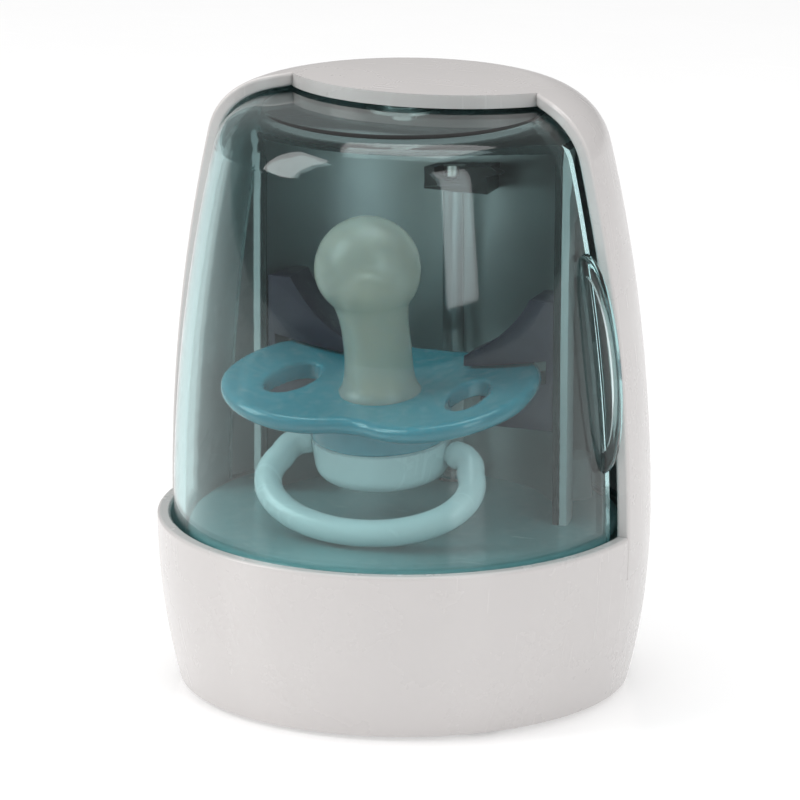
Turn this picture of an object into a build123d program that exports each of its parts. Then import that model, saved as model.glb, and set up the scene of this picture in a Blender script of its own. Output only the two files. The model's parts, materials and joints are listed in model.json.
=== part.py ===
from build123d import *
from math import asin, atan2, cos, degrees, hypot, radians, sin, sqrt
import os

# Pacifier sterilizer case, in millimetres. +Z is up and the front faces -Y.
# The origin is the centre of the footprint, on the table.
# A clear lid swivels about the upright centre line, inside a white hood, and
# uncovers a lamp chamber that holds one pacifier.

# ---- Case form: one turned surface shared by the base, the hood and the lid
case_height = 98.0
case_radius = 40.0
rim_height = 28.0            # height of the widest ring, the rim of the base
foot_draft = 3.7             # the same surface is this much smaller at the table
side_arc = 270.0
shoulder_arc = 11.0
crown_arc = 500.0
shell_wall = 2.2
foot_stand = 0.8             # the rubber feet lift the base this far
edge_round = 0.5
seam_gap = 0.25

# ---- Hood
hood_front = -3.0            # the upright front faces of the hood lie here
hood_seat = 21.0             # the hood's skirt stands on the base wall here
notch_inset = 19.0           # inner corner where the front edge meets the tongue
notch_y = 4.0
edge_turn_inset = 7.0        # the front edge starts to turn back here
tongue_y = -6.0              # foremost point of the tongue over the lid
leg_angles = (60.0, 120.0)
leg_inset = 3.937            # from the rim of the bottom plate to the legs' centres
leg_radius = 3.0
leg_bridge = 3.0             # height of the bridge between skirt and leg

# ---- Lid
lid_gap = 0.5                # between the hood or the base rim and the lid
lid_wall = 1.8
lid_right_angle = -6.5       # ends of the lid's wall when it is shut
lid_left_angle = 167.0
cap_depth = 7.5              # this far down from the top the lid's cap goes all the way round
lid_clear = 0.3              # under the lid's ring and above its flange
ring_height = 4.7
flange_width = 3.2
flange_thick = 1.4
pivot_radius = 3.5
pivot_play = 0.08
pivot_drop = 0.2             # the pivot boss reaches this far below the cap
washer_radius = 6.0
washer_thick = 0.5
grip_height = 35.6
grip_depth = 4.3
grip_root = 1.2              # the grip's oval is centred this far inside the lid's face
grip_thick = 2.2
grip_centre_z = 56.7
grip_rim = 1.1
grip_recess = 1.2
magnet_radius = 1.0

# ---- Base
shelf_thick = 1.8
plate_thick = 2.0
plate_gap = 0.3
plate_ledge = 1.6
boss_radius = 3.0
front_boss_angles = (-60.0, -120.0)

# ---- Chamber
tray_height = 5.5            # the chamber floor stands this far above the shelf
tray_gap = 0.5               # between the tray's edge and the lid
tray_wall = 1.8
column_room = 10.5           # between the liner's inside and the lid's
reflector_wall = 1.0
reflector_front = 1.5
roof_room = 3.8              # between the column's roof and the lid's cap
roof_thick = 1.5
housing_wall = 1.2
housing_gap = 0.15
channel_width = 9.0
channel_depth = 2.6
channel_drop = 8.2           # from the liner's top to the channel's
column_boss_angles = (40.0, 140.0)
column_boss_reach = 2.25     # from the housing's outside to the bosses' centres
column_boss_height = 7.0
tray_screw_inset = 11.8      # from the rim of the tray's spigot

# ---- Lamp
lamp_radius = 1.75
lamp_inset = 3.1             # from the liner's inside to the tube's centre line
lamp_bottom = 24.6
lamp_drop = 6.2              # from the liner's top to the tube's
cap_length = 2.6
cap_wall = 0.15
holder_left = -4.0
holder_right = 7.2
holder_ear = 2.3
holder_reach = 5.5           # from the tube's top down to the holder's underside
holder_height = 5.7
holder_depth = 3.2
holder_bridge = 2.1          # height of the bar in front of the tube
holder_play = 0.1
lead_radius = 0.6

# ---- Cradle
cradle_front = 1.8
cradle_depth = 7.4
claw_tip_x = 9.6
claw_low = 53.4              # top of the claw's tip
claw_top = 64.2
claw_crest = 4.2             # width of the claw's top at the wall
claw_hollow = 0.9
jaw_inner_x = 12.5
jaw_thick = 3.0
jaw_play = 0.3               # above and below the shield
cradle_web = 2.6
cradle_gap = 0.15

# ---- Pacifier
pacifier_reach = 10.7        # from the liner's front edge to the pacifier's axis
shield_length = 54.0
shield_width = 35.0
shield_thick = 2.2
shield_low = 45.8            # underside of the shield at its middle
shield_bend = 84.0
shield_rim = 1.3             # height of the raised rim above the plate
shield_rim_width = 2.6
wing_round = 13.6
vent_x = 15.6
vent_length = 11.0
vent_width = 6.4
vent_turn = 12.0
collar_radius = 11.9
collar_height = 3.4
knob_radius = 11.7
knob_height = 6.2
knob_taper = 0.8
stem_radius = 3.6
teat_neck = 5.5
teat_bulb = 8.4
teat_length = 31.6
teat_flange = 6.9
teat_flange_thick = 0.8
teat_foot = 4.5              # height of the flared foot of the teat
teat_bend = 8.0              # the neck bends away from the axis above this
teat_lean_x = -0.8           # the middle of the bulb stands this far off the axis
teat_lean_y = -3.0
teat_wall = 1.6
teat_skirt = 0.7             # the teat is let into the shield this deep
plug_proud = 1.4
knob_edge = 0.9
ring_half_width = 17.2
ring_reach = 10.0
ring_offset = 7.0
ring_wire = 2.2
ring_pin = 1.3
ring_play = 0.08
ring_drop = 5.2              # pivot line below the shield's underside
ring_rest = 0.3              # between the resting ring and the chamber floor

# ---- Battery bay
cell_radius = 5.25
cell_length = 43.3
nub_radius = 1.9
nub_length = 1.1
cell_count = 3
cell_gap = 0.2
bay_end = 2.2                # room for the contacts at each end of a cell
bay_wall = 1.2
door_thick = 1.6
door_gap = 0.3
door_lip = 1.0
door_pin = 0.6
door_pin_length = 1.3
grip_rib_pitch = 1.6
grip_rib_width = 0.7
grip_rib_half = 5.0
grip_rib_count = 5
contact_thick = 0.35
contact_half = 4.0
leaf_half = 1.5

# ---- Board and controls
board_y = 19.6
board_thick = 1.2
board_half = 19.0
board_top = 19.4
post_size = 3.0
button_z = 11.0
button_radius = 4.3
button_proud = 0.7
button_play = 0.15
button_flange = 1.1
stem_of_button = 1.6
switch_size = 6.0
switch_depth = 3.5
plunger_radius = 1.7
plunger_length = 1.0
pipe_x = 8.0
pipe_radius = 1.5
transformer_x = -7.2
transformer_z = 11.0
transformer_core = (7.6, 12.0)     # width and height
transformer_flange = (8.4, 2.0)
transformer_depth = 6.8
led_radius = 1.5
led_base = 1.9
led_base_thick = 1.2
led_length = 2.9
capacitor_x = 7.0
capacitor_z = 5.6
capacitor_radius = 2.5
capacitor_length = 7.0
chip_size = (5.0, 4.0)
chip_z = 13.0
chip_thick = 1.2
chip_lift = 0.2
chip_pins = 4
chip_pin_pitch = 0.95
chip_pin = 0.4
chip_pin_reach = 0.8
reed_radius = 1.0
reed_half = 5.0
reed_inset = 2.4             # from the lid magnet, towards the centre
fit_gap = 0.1

# ---- Screws and feet
screw_bite = 9.0             # depth of the holes that the screws cut into
base_screw_length = 9.0
tray_screw_length = 6.4
slot_width = 0.5
slot_depth = 0.5
screw_radius = 1.1
screw_head = 2.1
screw_head_height = 1.3
screw_play = 0.1
foot_pad_radius = 3.0
foot_pad_inset = 3.437       # from the rim of the bottom plate to the pads' centres
foot_pad_recess = 0.8

far = 120.0
low_mid = (Align.CENTER, Align.CENTER, Align.MIN)


# ---- Helpers
def disc(radius, low, high, x=0.0, y=0.0):
    return Pos(x, y, low) * Cylinder(radius, high - low, align=low_mid)


def block(x0, x1, y0, y1, z0, z1):
    middle = Pos((x0 + x1) / 2, (y0 + y1) / 2, (z0 + z1) / 2)
    return middle * Box(x1 - x0, y1 - y0, z1 - z0)


def rod_along_y(radius, y0, y1, x, z):
    return Pos(x, y0, z) * Rot(-90, 0, 0) * Cylinder(radius, y1 - y0, align=low_mid)


def rod_along_x(radius, x0, x1, y, z):
    return Pos(x0, y, z) * Rot(0, 90, 0) * Cylinder(radius, x1 - x0, align=low_mid)


def on_circle(radius, angle):
    return radius * cos(radians(angle)), radius * sin(radians(angle))


def arc_about(centre, radius, start, end):
    points = []
    for angle in (start, (start + end) / 2, end):
        dx, dy = on_circle(radius, angle)
        points.append((centre[0] + dx, centre[1] + dy))
    return ThreePointArc(*points)


def turned(edges):
    return revolve(Plane.XZ * make_face(edges), Axis.Z)


def screw(x, y, head_low, length):
    # The head stands on head_low and the shank points up.
    head = disc(screw_head, head_low, head_low + screw_head_height, x, y)
    side = slot_width / 2
    slot = block(
        x - screw_head, x + screw_head, y - side, y + side, head_low - 1, head_low + slot_depth
    )
    shank = disc(screw_radius, head_low + screw_head_height, head_low + length, x, y)
    return head - slot + shank


def save(name, shape):
    shape.label = name
    export_step(shape, os.path.join("parts", name + ".step"))


# ---- The turned surface of the case
base_arc = (rim_height ** 2 + foot_draft ** 2) / (2 * foot_draft)
base_centre = (case_radius - base_arc, rim_height)
side_centre = (case_radius - side_arc, rim_height)
crown_centre = (0.0, case_height - crown_arc)


def circles_meet(a, radius_a, b, radius_b):
    # The crossing of two circles that lies on the right of the line from b to a.
    gap_x, gap_y = a[0] - b[0], a[1] - b[1]
    gap = hypot(gap_x, gap_y)
    along = (radius_b ** 2 - radius_a ** 2 + gap ** 2) / (2 * gap)
    off = sqrt(radius_b ** 2 - along ** 2)
    ux, uy = gap_x / gap, gap_y / gap
    return b[0] + along * ux + off * uy, b[1] + along * uy - off * ux


shoulder_centre = circles_meet(
    side_centre, side_arc - shoulder_arc, crown_centre, crown_arc - shoulder_arc
)
side_turn = degrees(
    atan2(shoulder_centre[1] - side_centre[1], shoulder_centre[0] - side_centre[0])
)
crown_turn = degrees(
    atan2(shoulder_centre[1] - crown_centre[1], shoulder_centre[0] - crown_centre[0])
)


def case_form(inset, floor):
    # Everything inside the case surface set in by inset, above a floor.
    low_turn = -degrees(asin(max(rim_height - floor, 0) / (base_arc - inset)))
    side_low = degrees(asin(max(floor - rim_height, 0) / (side_arc - inset)))
    edges = []
    if floor < rim_height:
        edges.append(arc_about(base_centre, base_arc - inset, low_turn, 0))
    edges.append(arc_about(side_centre, side_arc - inset, side_low, side_turn))
    edges.append(arc_about(shoulder_centre, shoulder_arc - inset, side_turn, crown_turn))
    edges.append(arc_about(crown_centre, crown_arc - inset, crown_turn, 90))
    edges.append(Line((0, case_height - inset), (0, floor)))
    edges.append(Line((0, floor), edges[0] @ 0))
    return turned(edges)


def base_radius_at(height, inset):
    reach = base_arc - inset
    return base_centre[0] + sqrt(reach ** 2 - (rim_height - height) ** 2)


def pie(start, end, low, high):
    # A wedge about Z, anticlockwise from start to end.
    steps = 6
    corners = [(0, 0)]
    for step in range(steps + 1):
        corners.append(on_circle(far, start + (end - start) * step / steps))
    face = make_face(Polyline(*corners, close=True))
    return Pos(0, 0, low) * extrude(face, high - low)


# ---- Levels and radii that follow from the sizes above
shelf_top = hood_seat + 1.0
shelf_low = shelf_top - shelf_thick
rim_inner = case_radius - shell_wall
lid_inset = shell_wall + lid_gap
lid_radius = case_radius - lid_inset
lid_inner = lid_radius - lid_wall
ring_low = shelf_top + lid_clear
flange_top = ring_low + flange_thick
flange_inner = lid_inner - flange_width + lid_wall
tray_top = shelf_top + tray_height
tray_radius = lid_inner - tray_gap
spigot_radius = flange_inner - lid_clear
plate_low = foot_stand
plate_top = plate_low + plate_thick
plate_radius = base_radius_at(plate_low, shell_wall) - plate_gap
leg_circle = plate_radius - leg_inset
foot_pad_circle = plate_radius - foot_pad_inset
notch_x = case_radius - notch_inset
edge_turn_x = case_radius - edge_turn_inset
cap_low = case_height - cap_depth
hood_under = case_height - shell_wall
lid_under = case_height - lid_inset - lid_wall
pivot_low = lid_under - pivot_drop
reflector_radius = lid_inner - column_room
reflector_top = lid_under - roof_room - roof_thick
channel_top = reflector_top - channel_drop
housing_inner = reflector_radius + reflector_wall + housing_gap
housing_radius = housing_inner + housing_wall
roof_top = reflector_top + roof_thick
channel_radius = housing_radius + channel_depth
column_boss_circle = housing_radius + column_boss_reach
tray_screw_y = -(spigot_radius - tray_screw_inset)
lamp_y = reflector_radius - lamp_inset
lamp_top = reflector_top - lamp_drop
holder_bottom = lamp_top - holder_reach
pacifier_y = reflector_front - pacifier_reach
lead_y = housing_inner + lead_radius + housing_gap
leg_low = plate_top + plate_gap
screw_low = plate_low + 0.3
knob_high = shield_low - collar_height - fit_gap
ring_axis_z = shield_low - ring_drop
ring_hang = ring_axis_z - tray_top - ring_rest - ring_wire
ring_tilt = degrees(asin(ring_hang / (ring_offset + ring_reach)))


# ---- Hood: rear half shell, front edge cut in plan, with two legs inside
def front_cut(margin):
    # Plan outline of everything in front of the hood, moved back by margin.
    turn_radius = ((edge_turn_x - notch_x) ** 2 + (notch_y - hood_front) ** 2) / (
        2 * (notch_y - hood_front)
    )
    half = degrees(asin((edge_turn_x - notch_x) / turn_radius)) / 2
    sweep = turn_radius * sin(radians(half)), turn_radius * (1 - cos(radians(half)))
    mid = (edge_turn_x - sweep[0], hood_front + sweep[1])
    edges = [
        Line((far, hood_front), (edge_turn_x, hood_front)),
        ThreePointArc((edge_turn_x, hood_front), mid, (notch_x, notch_y)),
        ThreePointArc((notch_x, notch_y), (0, tongue_y), (-notch_x, notch_y)),
        ThreePointArc((-notch_x, notch_y), (-mid[0], mid[1]), (-edge_turn_x, hood_front)),
        Line((-edge_turn_x, hood_front), (-far, hood_front)),
        Polyline((-far, hood_front), (-far, -far), (far, -far), (far, hood_front)),
    ]
    return Pos(0, -margin, 0) * make_face(edges)


def make_hood():
    hood = case_form(0, hood_seat) - case_form(shell_wall, hood_seat - 5)
    hood -= disc(rim_inner, hood_seat - 5, rim_height)
    hood -= extrude(front_cut(0), far)
    front_edges = hood.edges().filter_by(
        lambda e: abs(e.center().Y - hood_front) < 0.01 and e.length > case_radius / 2
    )
    hood = fillet(front_edges, edge_round)
    boss = disc(pivot_radius, pivot_low, hood_under + 0.5)
    hood += boss
    for angle in leg_angles:
        hood += hood_leg(angle)
    hood -= disc(screw_radius + screw_play, pivot_low - 1, hood_under + 0.4)
    return hood


def hood_leg(angle):
    x, y = on_circle(leg_circle, angle)
    leg = disc(leg_radius, leg_low, shelf_top, x, y)
    outer = rim_inner + 1.1
    bridge = Rot(0, 0, angle) * block(
        leg_circle, outer, -leg_radius, leg_radius, shelf_top - leg_bridge, shelf_top
    )
    pilot = disc(screw_radius + screw_play, leg_low - 1, leg_low + screw_bite, x, y)
    return leg + bridge - pilot


# ---- Base shell: outer wall, shelf under the chamber, front screw bosses
def make_base():
    outer = case_form(0, foot_stand) & disc(far, foot_stand, rim_height)
    inner = case_form(shell_wall, foot_stand - 1) & disc(far, foot_stand - 1, shelf_low)
    base = outer - inner - disc(rim_inner, shelf_top, rim_height + 1)
    rear = block(-far, far, hood_front - seam_gap, far, hood_seat, rim_height + 1)
    base -= rear - disc(rim_inner - fit_gap, hood_seat - 1, shelf_top)
    ledge_low = plate_top + fit_gap
    wall_reach = base_radius_at(ledge_low, shell_wall) + 0.6
    ledge = disc(wall_reach, ledge_low, ledge_low + plate_ledge) - disc(
        plate_radius - plate_ledge, ledge_low - 1, ledge_low + plate_ledge + 1
    )
    base += ledge
    for angle in front_boss_angles:
        x, y = on_circle(leg_circle, angle)
        base += disc(boss_radius, leg_low, shelf_low + 0.2, x, y)
        base -= disc(screw_radius + screw_play, leg_low - 1, leg_low + screw_bite, x, y)
    for angle in leg_angles:
        base -= leg_room(angle)
    for x, y in tray_screw_points():
        base -= disc(screw_radius + screw_play, shelf_low - 1, shelf_top + 1, x, y)
    base -= disc(lead_radius + holder_play, shelf_low - 1, shelf_top + 1, 0, lead_y)
    base -= rod_along_y(button_radius + button_play, 30, far, 0, button_z)
    base -= rod_along_y(pipe_radius + fit_gap, 30, far, pipe_x, button_z)
    rims = base.edges().filter_by(
        lambda e: abs(e.center().Z - rim_height) < 0.01 and e.length > 2 * rim_inner
    )
    return fillet(rims, edge_round)


def leg_room(angle):
    x, y = on_circle(leg_circle, angle)
    room = disc(leg_radius + plate_gap, leg_low - 3, shelf_top + 1, x, y)
    side = leg_radius + plate_gap
    outer = rim_inner + 1.1 + plate_gap
    slot = Rot(0, 0, angle) * block(
        leg_circle, outer, -side, side, shelf_top - leg_bridge - plate_gap, shelf_top + 1
    )
    return room + slot


def tray_screw_points():
    points = [on_circle(column_boss_circle, angle) for angle in column_boss_angles]
    points.append((0, tray_screw_y))
    return points


# ---- Lid: front half of the form between a full ring and a full cap, and a side grip
def make_lid():
    dome = case_form(lid_inset, rim_height) - case_form(lid_inset + lid_wall, rim_height - 1)
    skirt = disc(lid_radius, ring_low, rim_height) - disc(lid_inner, ring_low - 1, rim_height + 1)
    lid = dome + skirt - pie(lid_right_angle, lid_left_angle, ring_low + ring_height, cap_low)
    lid += disc(lid_radius, ring_low, flange_top) - disc(flange_inner, ring_low - 1, flange_top + 1)
    lid += make_grip()
    lid -= disc(pivot_radius + pivot_play, lid_under - 2, case_height)
    x, y = magnet_place()
    lid -= disc(magnet_radius + fit_gap, ring_low - 1, flange_top + 1, x, y)
    return lid


def magnet_place():
    return on_circle(flange_inner + flange_width / 2 - 0.4, 90)


def grip_outline(half_depth, half_height):
    # The grip's oval leans with the lid's side, about its middle height.
    arc = side_arc - lid_inset - grip_root
    lean = degrees(asin((grip_centre_z - rim_height) / arc))
    reach = side_centre[0] + arc * cos(radians(lean))
    centre = Pos(reach, grip_centre_z) * Rot(0, 0, lean)
    return centre * Ellipse(half_depth, half_height)


def make_grip():
    end_y = lid_radius * sin(radians(lid_right_angle))
    plane = Plane.XZ.offset(-end_y)
    grip = extrude(plane * grip_outline(grip_depth, grip_height / 2), grip_thick)
    grip = fillet(grip.edges().filter_by(lambda e: e.length > 2 * grip_depth), edge_round)
    pocket = grip_outline(grip_depth - grip_rim, grip_height / 2 - 3 * grip_rim)
    recess_plane = Plane.XZ.offset(-end_y + grip_thick - grip_recess)
    recess = extrude(recess_plane * pocket, grip_recess + 1)
    recess -= case_form(lid_inset - fit_gap, rim_height)
    grip -= recess
    return grip - case_form(lid_inset + lid_wall / 2, rim_height)


# ---- Chamber floor
def make_tray():
    tray = disc(tray_radius, flange_top + lid_clear, tray_top)
    top_edge = tray.edges().filter_by(lambda e: abs(e.center().Z - tray_top) < 0.01)
    tray = fillet(top_edge, 1.0)
    tray += disc(spigot_radius, shelf_top, flange_top + lid_clear)
    hollow = disc(spigot_radius - tray_wall, shelf_top - 1, tray_top - tray_wall)
    for x, y in tray_screw_points():
        hollow -= disc(boss_radius, shelf_top - 1, tray_top, x, y)
    hollow -= disc(lamp_radius + 2 * tray_wall, lamp_bottom - 1.2, tray_top, 0, lamp_y)
    tray -= hollow
    for x, y in tray_screw_points()[:2]:
        tray -= disc(screw_radius + screw_play, shelf_top - 1, tray_top + 1, x, y)
    x, y = tray_screw_points()[2]
    tray -= disc(screw_radius + screw_play, shelf_top - 1, shelf_top + 4, x, y)
    socket = disc(lamp_radius + cap_wall + holder_play + 0.8, lamp_bottom - 1.3, tray_top + 1, 0, lamp_y)
    tray -= socket
    return tray - disc(lead_radius + holder_play, shelf_top - 1, tray_top + 1, 0, lead_y)


# ---- Column: chrome liner and the housing behind it
def make_reflector():
    outer = disc(reflector_radius + reflector_wall, tray_top, reflector_top)
    liner = outer - disc(reflector_radius, tray_top - 1, reflector_top + 1)
    roof = disc(reflector_radius + reflector_wall, reflector_top, roof_top)
    liner += fillet(roof.edges().filter_by(lambda e: e.center().Z > roof_top - 0.1), 1.0)
    liner -= block(-far, far, -far, reflector_front, 0, far)
    window = block(
        holder_left - holder_play, holder_right + holder_play, lamp_y, far,
        holder_bottom - holder_play, holder_bottom + holder_height + holder_play,
    )
    return liner - window


def make_housing():
    skin = disc(housing_radius, tray_top, roof_top)
    skin = fillet(skin.edges().filter_by(lambda e: e.center().Z > roof_top - 0.1), 1.2)
    channel = block(-channel_width / 2, channel_width / 2, 0, far, tray_top, channel_top)
    skin += channel & disc(channel_radius, tray_top, channel_top)
    for x, y in tray_screw_points()[:2]:
        skin += disc(boss_radius, tray_top, tray_top + column_boss_height, x, y)
        reach = (housing_radius + column_boss_circle) / 2
        skin += Rot(0, 0, degrees(atan2(y, x))) * block(
            housing_inner, reach, -1.2, 1.2, tray_top, tray_top + column_boss_height
        )
    skin -= disc(housing_inner, tray_top - 1, far)
    inside = channel_width / 2 - housing_wall
    duct = block(-inside, inside, 0, far, tray_top - 1, channel_top - housing_wall)
    skin -= duct & disc(channel_radius - housing_wall, tray_top - 1, far)
    skin -= block(-far, far, -far, reflector_front, 0, far)
    for x, y in tray_screw_points()[:2]:
        skin -= disc(screw_radius + screw_play, tray_top - 1, tray_top + 5, x, y)
    return skin


# ---- Lamp with its caps, holders and leads
def make_lamp():
    tube = disc(lamp_radius, lamp_bottom + lamp_radius, lamp_top - lamp_radius, 0, lamp_y)
    for height in (lamp_bottom + lamp_radius, lamp_top - lamp_radius):
        tube += Pos(0, lamp_y, height) * Sphere(lamp_radius)
    return tube


def make_lamp_cap(low, high, closed_low):
    cap_radius = lamp_radius + cap_wall + holder_play
    cap = disc(cap_radius, low, high, 0, lamp_y)
    bore_low = low + cap_wall + lamp_radius if closed_low else low - 1
    bore_high = high + 1 if closed_low else high - cap_wall - lamp_radius
    cap -= disc(lamp_radius + holder_play / 2, bore_low, bore_high, 0, lamp_y)
    end = low + cap_wall + lamp_radius if closed_low else high - cap_wall - lamp_radius
    return cap - Pos(0, lamp_y, end) * Sphere(lamp_radius + holder_play / 2)


def make_upper_holder():
    high = holder_bottom + holder_height
    bore = lamp_radius + cap_wall + 2 * holder_play
    front = lamp_y - holder_depth
    rear = housing_inner - holder_play
    holder = block(holder_left, holder_right, front, rear, holder_bottom, high)
    ear_low = high - holder_ear
    ear = Polyline(
        (holder_right, high), (holder_right, ear_low),
        (holder_right + holder_ear, ear_low + 0.6), (holder_right + 0.3, high), close=True,
    )
    holder += extrude(Plane.XZ.offset(-front) * make_face(ear), -2.0)
    notch_low = holder_bottom + holder_bridge + bore
    notch = block(-bore, bore, front - 1, lamp_y, notch_low, high + 1)
    notch += rod_along_y(bore, front - 1, lamp_y, 0, notch_low)
    holder -= notch
    holder -= disc(bore, holder_bottom - 1, high + 1, 0, lamp_y)
    return holder & disc(housing_inner - holder_play, 0, far)


def make_lower_holder():
    bore = lamp_radius + cap_wall + 2 * holder_play
    low = lamp_bottom - 1.2
    cup = disc(bore + 0.7, low, tray_top - 0.6, 0, lamp_y)
    return cup - disc(bore, lamp_bottom - cap_wall - holder_play, tray_top, 0, lamp_y)


def make_lead():
    top = holder_bottom - 2.0
    path = Line((0, lead_y, shelf_low - 1), (0, lead_y, top))
    return sweep(Plane(path @ 0, z_dir=(0, 0, 1)) * Circle(lead_radius), path)


# ---- Cradle: two mirrored jaws on the liner's walls, open towards the front
def make_cradle(side):
    room = disc(reflector_radius - cradle_gap, tray_top, reflector_top)
    wall_x = reflector_radius
    jaw_low = shield_low - jaw_thick
    crest_x = wall_x - claw_crest
    claw_mid = ((claw_tip_x + crest_x) / 2 + claw_hollow, (claw_low + claw_top) / 2 - claw_hollow)
    profile = make_face([
        Line((wall_x, jaw_low), (jaw_inner_x, jaw_low)),
        Line((jaw_inner_x, jaw_low), (jaw_inner_x, shield_low)),
        Line((jaw_inner_x, shield_low), (claw_tip_x, shield_low)),
        Line((claw_tip_x, shield_low), (claw_tip_x, claw_low)),
        ThreePointArc((claw_tip_x, claw_low), claw_mid, (crest_x, claw_top)),
        Line((crest_x, claw_top), (wall_x, claw_top)),
        Line((wall_x, claw_top), (wall_x, jaw_low)),
    ])
    cradle = extrude(Plane.XZ.offset(-cradle_front) * profile, -cradle_depth)
    slot = bent_slab(shield_low - jaw_play, shield_low + shield_thick + shield_rim + jaw_play)
    slot &= block(-far, wall_x - cradle_web, -far, far, 0, far)
    cradle = (cradle - slot) & room
    return cradle if side > 0 else mirror(cradle, Plane.YZ)


# ---- Pacifier
def shield_outline(inset):
    # Two wings joined by arcs that are drawn in at the waist.
    wing = wing_round - inset
    wing_x = shield_length / 2 - wing_round
    wings = Sketch() + [Pos(side * wing_x, 0) * Circle(wing) for side in (-1, 1)]
    middle = Ellipse(shield_length / 2 - 4 - inset, shield_width / 2 - inset)
    return wings + middle


def bent_slab(low, high):
    # Between two levels at the middle, bent so that the ends rise.
    axis_z = high + shield_bend
    outer = rod_along_y(shield_bend + high - low, -far, far, 0, axis_z)
    inner = rod_along_y(shield_bend, -far - 1, far + 1, 0, axis_z)
    return (outer - inner) & block(-far, far, -far, far, low - 1, low + shield_bend / 2)


def make_shield():
    low, high = shield_low, shield_low + shield_thick
    place = Pos(0, pacifier_y, 0)
    plan = place * extrude(shield_outline(0), far)
    plate = plan & bent_slab(low, high)
    rim = place * extrude(shield_outline(0) - shield_outline(shield_rim_width), far)
    shield = plate + (rim & bent_slab(low + 0.4, high + shield_rim))
    for side in (-1, 1):
        vent = Pos(side * vent_x, 0) * Rot(0, 0, -side * vent_turn)
        vent *= Ellipse(vent_length / 2, vent_width / 2)
        shield -= place * extrude(vent, far)
    collar = disc(collar_radius, low - collar_height, low + 0.3, 0, pacifier_y)
    shield += collar
    bore = disc(stem_radius + fit_gap, low - collar_height - 1, high + 2, 0, pacifier_y)
    seat = disc(teat_flange + fit_gap, high - 0.8, high + 5, 0, pacifier_y)
    return shield - bore - seat


def make_plug():
    top = shield_low + shield_thick + plug_proud
    return disc(stem_radius, knob_high, top, 0, pacifier_y)


def make_knob():
    low = knob_high - knob_height
    knob = turned(Polyline(
        (0, low), (knob_radius - knob_taper, low), (knob_radius, knob_high), (0, knob_high),
        close=True,
    ))
    knob = fillet(knob.edges().filter_by(lambda e: e.center().Z < low + 0.1), knob_edge)
    knob = Pos(0, pacifier_y, 0) * knob
    for side in (-1, 1):
        x0, x1 = sorted((side * (knob_radius - 3.0), side * (knob_radius + 1)))
        knob -= rod_along_x(ring_pin + ring_play, x0, x1, pacifier_y, ring_axis_z)
    return knob


def teat_skin(inset, low, bulb_z):
    # The neck is drawn up and over to the bulb, which stands off the axis.
    neck_top = bulb_z - teat_bulb * sin(radians(38))
    sections = [
        (low + teat_foot, teat_neck - inset, 0.0),
        (low + teat_bend, teat_neck - inset, 0.08),
        ((low + teat_bend + neck_top) / 2, teat_neck + 0.15 - inset, 0.4),
        (neck_top, teat_bulb * cos(radians(38)) - inset, 0.8),
    ]
    circles = []
    for height, radius, share in sections:
        circles.append(
            Pos(share * teat_lean_x, pacifier_y + share * teat_lean_y, height) * Circle(radius)
        )
    bulb = Pos(teat_lean_x, pacifier_y + teat_lean_y, bulb_z) * Sphere(teat_bulb - inset)
    return loft(Sketch() + circles) + bulb


def make_teat():
    low = shield_low + shield_thick - teat_skirt
    flange = low + teat_flange_thick
    foot = low + teat_foot
    bulb_z = low + teat_length - teat_bulb
    base = turned([
        Line((0, low), (teat_flange, low)),
        Line((teat_flange, low), (teat_flange, flange)),
        ThreePointArc((teat_flange, flange), (teat_neck + 0.5, flange + 1.4), (teat_neck, foot)),
        Line((teat_neck, foot), (0, foot)),
        Line((0, foot), (0, low)),
    ])
    teat = Pos(0, pacifier_y, 0) * base + teat_skin(0, low, bulb_z)
    plug_top = low + teat_skirt + plug_proud + fit_gap
    teat -= disc(stem_radius + fit_gap, low - 1, plug_top, 0, pacifier_y)
    teat -= disc(teat_neck - teat_wall, plug_top - 0.1, foot + 0.1, 0, pacifier_y)
    return teat - teat_skin(teat_wall, low, bulb_z)


def make_ring():
    # A half oval bow whose ends turn in to the knob; it lies in a tilted plane.
    start = degrees(asin(ring_offset / ring_reach))
    bow = EllipticalCenterArc(
        (0, -ring_offset), ring_half_width, ring_reach, 180 - start, arc_size=180 + 2 * start
    )
    section = Plane(bow @ 0, z_dir=bow % 0) * Circle(ring_wire)
    ring = sweep(section, bow)
    end_x = ring_half_width * cos(radians(start))
    for side in (-1, 1):
        x0, x1 = sorted((side * (knob_radius - 2.8), side * end_x))
        ring += rod_along_x(ring_pin, x0, x1, 0, 0)
    trim = disc(knob_radius + 0.35, -far, far)
    pins = rod_along_x(ring_pin, -end_x, end_x, 0, 0)
    ring = (ring - trim) + (ring & pins)
    return Pos(0, pacifier_y, ring_axis_z) * Rot(ring_tilt, 0, 0) * ring


# ---- Battery bay, bottom plate and door
bay_half_x = cell_length / 2 + nub_length / 2 + bay_end
bay_half_y = cell_count * (2 * cell_radius + cell_gap) / 2 + cell_gap
door_low = plate_low
door_top = door_low + door_thick
cell_z = door_top + cell_gap + cell_radius
bay_top = cell_z + cell_radius + cell_gap
door_half_x = bay_half_x + door_lip
door_half_y = bay_half_y + door_lip
door_axis_x = -door_half_x + door_thick / 2
door_axis_z = door_low + door_thick / 2


def base_screw_points():
    return [on_circle(leg_circle, angle) for angle in leg_angles + front_boss_angles]


def foot_points():
    return [on_circle(foot_pad_circle, angle) for angle in (45, 135, 225, 315)]


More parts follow.
